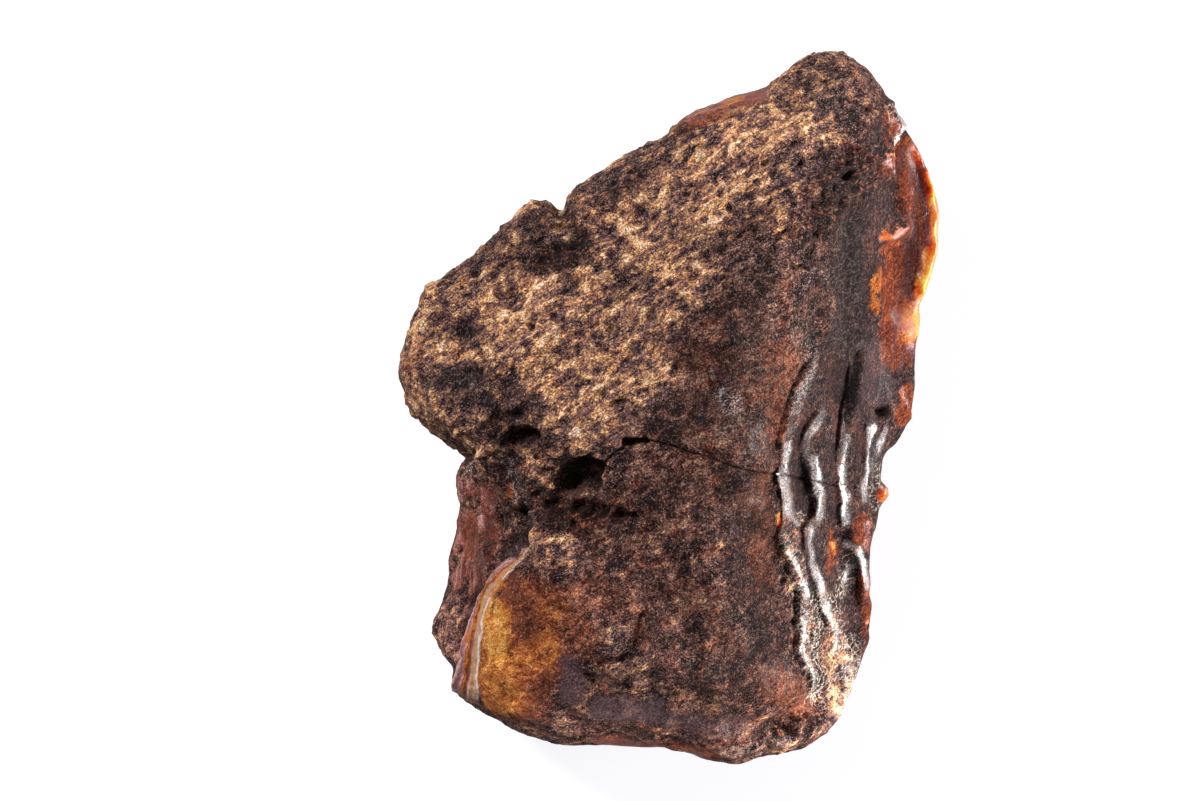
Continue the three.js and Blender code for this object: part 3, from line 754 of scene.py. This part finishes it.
def crumblyCrust(tree, zone, pattern, fewCrumbs):
    # painted shade: darker low in the crumbled relief and towards the crumbs' edges
    value = pattern.crumbKind * 0.24 + pattern.fine * 0.65 + pattern.middle * 1.2 + pattern.blotch * 0.50
    value = value + pattern.layers * 0.55 + zone.relief * 0.45 - 1.30
    value = value + (zone.ochre - 0.5) * 0.30 - zone.shade * 0.15 - pattern.crumb * 0.26 - 0.01
    crumbly = gradient(tree, value, finish["crumbs"])
    value = pattern.fine * 2.1 + pattern.middle * 1.5 + pattern.blotch * 1.8 + pattern.crumbKind * 0.5
    colour = mixColours(tree, fewCrumbs * 0.85, crumbly, gradient(tree, value - 2.51, finish["front"]))
    reddish = ramp(tree, pattern.stain, 0.52, 0.66) * (0.25 + fewCrumbs * 0.6)
    violet = ramp(tree, 1 - pattern.stain, 0.52, 0.66) * (0.45 + fewCrumbs * 0.3)
    colour = mixColours(tree, reddish, colour, tinted(tree, colour, finish["redTint"]))
    return mixColours(tree, violet, colour, tinted(tree, colour, finish["violetTint"]))


def leatherySkin(tree, zone, pattern):          # the flank's smooth dark skin
    value = pattern.fine * 1.3 + pattern.middle * 0.9 + pattern.crumbKind * 0.2 - 0.70
    skin = gradient(tree, value, finish["skin"])
    skin = mixColours(tree, ramp(tree, pattern.blotch, 0.50, 0.66) * 0.5, skin, finish["redSkin"])
    smoothest = zone.mauve * ramp(tree, pattern.fine, 0.30, 0.60) * 0.8
    return mixColours(tree, smoothest, skin, finish["mauveSkin"])


def shiningAmber(tree, zone, pattern):          # amber colour under thin crust
    value = zone.gold * 0.36 + pattern.fine * 0.75 + pattern.running * 0.75 + pattern.crumbKind * 0.15
    shining = gradient(tree, value - zone.streaky * 0.08 - 0.56, finish["shining"])
    shining = mixColours(tree, (1 - zone.flank) * 0.1, shining, finish["dullGlow"])
    streaks = zone.streaky * ramp(tree, 1 - pattern.streak, 0.44, 0.60) * 0.6
    return mixColours(tree, streaks, shining, finish["violetStreak"])


def crustShader(tree, zone, pattern, bump, smoothed):
    fine, middle, blotch, fibres = pattern.fine, pattern.middle, pattern.blotch, pattern.fibres
    fewCrumbs = ramp(tree, 0.55 - zone.ochre - (middle - 0.5) * 1.7 - (fine - 0.5) * 2.4, 0.1, 0.6)
    colour = crumblyCrust(tree, zone, pattern, fewCrumbs)
    colour = mixColours(tree, smoothed * 0.9, colour, leatherySkin(tree, zone, pattern))
    layered = gradient(tree, pattern.streak * 1.3 + fine * 0.2 + blotch * 0.5 - 0.5, finish["layer"])
    behind = ramp(tree, zone.pinkish + (middle - 0.5) * 0.8, 0.2, 0.7) * 0.9
    colour = mixColours(tree, behind, colour, layered)
    thinness = zone.haze + (blotch - 0.5) * 0.6 + (middle - 0.5) * 0.9 + (fine - 0.5) * 0.9
    shown = ramp(tree, thinness, 0.05, 0.95)
    colour = mixColours(tree, shown * 0.9, colour, shiningAmber(tree, zone, pattern))
    fluted = gradient(tree, zone.flute + (pattern.streak - 0.5) * 0.12, finish["flutes"])
    colour = mixColours(tree, zone.fan, colour, fluted)

    # what lies on the crust, and the painted shade and highlights over it
    # pale dust, and painted highlight along flake edges and on the folds
    paleDustAndSheen = zone.dusty * (fibres * 0.6 + ramp(tree, fine + middle * 0.5, 0.78, 0.84) * 0.9)
    # painted highlight: a pale net on the folds' bright slopes
    paleDustAndSheen = paleDustAndSheen + zone.netted * ramp(tree, pattern.net, 0.0, 0.1) * 0.6
    colour = mixColours(tree, paleDustAndSheen, colour, finish["paleDustAndSheen"])
    # painted shade, and darker crust, where the shade zone lies
    shadeAndDarkening = zone.shade * (0.5 + ramp(tree, 1 - fine, 0.42, 0.58) * 0.42)
    colour = mixColours(tree, shadeAndDarkening, colour, finish["shadeAndDarkCrust"])
    # painted shade deep in the holes and in the crack
    colour = mixColours(tree, zone.hollow * 0.9, colour, finish["hollow"])
    embers = zone.rough * ramp(tree, pattern.crumbKind, 0.78, 0.84) * 0.6
    colour = mixColours(tree, embers, colour, finish["ember"])
    # painted highlight on the raised net
    colour = mixColours(tree, pattern.lace * 0.75, colour, finish["lace"])
    # painted pale glints off the fine wrinkles
    pale = fibres * (0.55 - fewCrumbs * 0.2) * (1 - smoothed * 0.8) * (1 - zone.fan)
    pale = pale * (1 - zone.hollow) * (1 - zone.shade * 0.6)
    colour = mixColours(tree, pale, colour, finish["fibre"])
    # painted micro shading from the fine speckle
    contrast = 1.15 - shown * 0.5 - zone.pinkish * 0.5 - zone.fan * 0.9
    # painted light where the paler zone lies
    colour = scaled(tree, colour, 1 + (pattern.grit - 0.5) * contrast + zone.paler * 0.9)

    shinyCrumbs = ramp(tree, pattern.crumbKind, 0.75, 0.85)
    return addNode(tree, "ShaderNodeBsdfPrincipled", {}, {
        "Base Color": colour,
        "Roughness": 0.80 - zone.mauve * 0.3 - zone.fan * 0.4 - zone.gloss * 0.2 - shinyCrumbs * 0.3,
        "IOR": finish["refraction"],
        "Specular IOR Level": finish["crustGloss"],
        "Coat Weight": zone.gloss * ramp(tree, pattern.net, 0.01, 0.15),
        "Coat IOR": finish["foldCoat"],
        "Coat Roughness": 0.22,
        "Normal": bump,
    })


def glassShader(tree, zone, pattern, bump):          # bare amber
    value = zone.gold * 0.45 + pattern.running * 0.8 + pattern.fine * 0.5
    colour = gradient(tree, value + (pattern.blotch - 0.5) * 0.4 - 0.38, finish["amber"])
    return addNode(tree, "ShaderNodeBsdfPrincipled", {}, {
        # painted micro shading from the fine speckle, and painted light where paler
        "Base Color": scaled(tree, colour, 0.7 + pattern.grit * 0.75 + zone.paler * 0.8),
        "Roughness": 0.25,
        "IOR": finish["refraction"],
        "Transmission Weight": finish["throughput"],
        "Subsurface Weight": 1.0,
        "Subsurface Radius": (1.0, 0.35, 0.08),
        "Subsurface Scale": finish["scatter"],
        "Normal": bump,
    })


def amberMaterial():
    material, tree = newMaterial("crustedAmber")
    zone = readZones(tree)
    pattern = makePatterns(tree, zone)
    fine, middle = pattern.fine, pattern.middle
    smoothed = ramp(tree, zone.flank + zone.mauve * 0.8 - zone.ochre * 0.9 + (fine - 0.5) * 1.2, 0.25, 0.85)
    height = fine * 0.8 - pattern.crumb * 0.4 + pattern.crumbKind * 0.3 + middle * 0.9 + pattern.grit * 0.12
    height = height * (1 - smoothed * 0.5 - zone.fan * 0.4 - zone.clear * 0.4) * (1 - zone.gloss * 0.8)
    bump = addNode(tree, "ShaderNodeBump", {}, {
        "Height": height, "Strength": 1.0, "Distance": finish["bumpDepth"]})
    crust = crustShader(tree, zone, pattern, bump, smoothed)
    glass = glassShader(tree, zone, pattern, bump)
    opening = ramp(tree, zone.clear + (fine - 0.5) * 1.2 + (middle - 0.5) * 1.2 - zone.hollow, 0.15, 0.85)
    surface = addNode(tree, "ShaderNodeMixShader", {}, {0: opening, 1: crust, 2: glass})
    depth = addNode(tree, "ShaderNodeVolumeAbsorption", {}, {
        "Color": finish["absorbed"], "Density": finish["density"]})
    addNode(tree, "ShaderNodeOutputMaterial", {}, {"Surface": surface, "Volume": depth}, output=None)
    return material


def makeLump():
    mesh = roundedCopy("amber")
    refineUpper(mesh)
    print("rounded and refined:", len(mesh.vertices), "points")
    points, normals = readPoints(mesh)
    zones = findZones(points, normals)
    moved = points + normals * sculpt(points, normals, zones)[:, None]
    lift, bright = foldLift(points, normals)
    moved[:, 2] += lift
    zones["gloss"] = np.maximum(bright, lump["skinGloss"] * zones["mauve"])
    # where the folds get painted highlight, in the material
    zones["netted"] = bright
    moved[:, 2] = np.maximum(moved[:, 2], 0)
    mesh.vertices.foreach_set("co", (moved * mm).ravel())
    mesh.update()
    print("crust sculpted")
    zones["hollow"] = shadeInHollows(points)
    for name, values in zones.items():
        storeZone(mesh, name, values)
    mesh.materials.append(amberMaterial())
    print("zones and material ready")
    piece = bpy.data.objects.new("amberLump", mesh)
    bpy.context.scene.collection.objects.link(piece)
    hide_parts("amber")
    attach(piece, "root")
    print("lump:", sum(len(face.vertices) - 2 for face in mesh.polygons), "triangles")


studio = {
    "lens": 150,
    "sensor": 36,
    "viewWidth": 120 * mm,                   # what the camera takes in at the height of the lump's rim
    "rimHeight": 17 * mm,
    "aim": (-7.15 * mm, 0.8 * mm),           # the lump sits right of the middle of the view
    "lights": {                              # place, size and power
        "keyLight": ((-0.5, 0.5, 0.58), (0.3, 0.3), 12),
        "rimLight": ((0.55, -0.08, 0.1), (0.6, 0.2), 10),
    },
    "lit": (0, 0, 12 * mm),                  # where the lights point
    "skyColour": (0.92, 0.93, 1, 1),
    "skyLight": 0.25,                        # but 1 where the camera sees it
    "floorSize": 3.0,
    "floorColour": (0.35, 0.35, 0.36, 1),
    "floorGlow": (0.73, 0.73, 0.75, 1),      # only for the camera, straight or through the amber
}


def addCamera():
    data = bpy.data.cameras.new("camera")
    data.lens = studio["lens"]
    data.sensor_width = studio["sensor"]
    data.clip_start = 0.01
    camera = bpy.data.objects.new("camera", data)
    distance = studio["viewWidth"] * studio["lens"] / data.sensor_width
    camera.location = (*studio["aim"], studio["rimHeight"] + distance)
    bpy.context.scene.collection.objects.link(camera)
    bpy.context.scene.camera = camera
    print("camera ready")


def addLight(name, place, size, power):
    data = bpy.data.lights.new(name, "AREA")
    data.shape = "RECTANGLE"
    data.size, data.size_y = size
    data.energy = power
    light = bpy.data.objects.new(name, data)
    light.location = place
    light.rotation_mode = "QUATERNION"
    light.rotation_quaternion = (Vector(studio["lit"]) - Vector(place)).to_track_quat("-Z", "Y")
    bpy.context.scene.collection.objects.link(light)


def addFloor():
    shape = bmesh.new()
    bmesh.ops.create_grid(shape, x_segments=1, y_segments=1, size=studio["floorSize"] / 2)
    mesh = bpy.data.meshes.new("floor")
    shape.to_mesh(mesh)
    shape.free()
    material, tree = newMaterial("paleFloor")
    rays = addNode(tree, "ShaderNodeLightPath", output="Is Camera Ray")
    seen = rays + rays.output("Is Transmission Ray")
    surface = addNode(tree, "ShaderNodeBsdfPrincipled", {}, {
        "Base Color": studio["floorColour"],
        "Roughness": 0.6,
        "Emission Color": mixColours(tree, seen, (0, 0, 0, 1), studio["floorGlow"]),
        "Emission Strength": 1.0,
    })
    addNode(tree, "ShaderNodeOutputMaterial", {}, {"Surface": surface}, output=None)
    mesh.materials.append(material)
    floor = bpy.data.objects.new("floor", mesh)
    bpy.context.scene.collection.objects.link(floor)


def addStudio():
    addFloor()
    world = bpy.data.worlds.new("studio")
    world.use_nodes = True
    world.node_tree.nodes.clear()
    tree = world.node_tree
    seen = addNode(tree, "ShaderNodeLightPath", output="Is Camera Ray")
    sky = addNode(tree, "ShaderNodeBackground", {}, {
        "Color": studio["skyColour"], "Strength": studio["skyLight"] + seen * (1 - studio["skyLight"])})
    addNode(tree, "ShaderNodeOutputWorld", {}, {"Surface": sky}, output=None)
    bpy.context.scene.world = world
    for name, (place, size, power) in studio["lights"].items():
        addLight(name, place, size, power)
    bpy.context.scene.view_settings.view_transform = "Standard"
    print("studio ready")


addCamera()
makeLump()
addStudio()
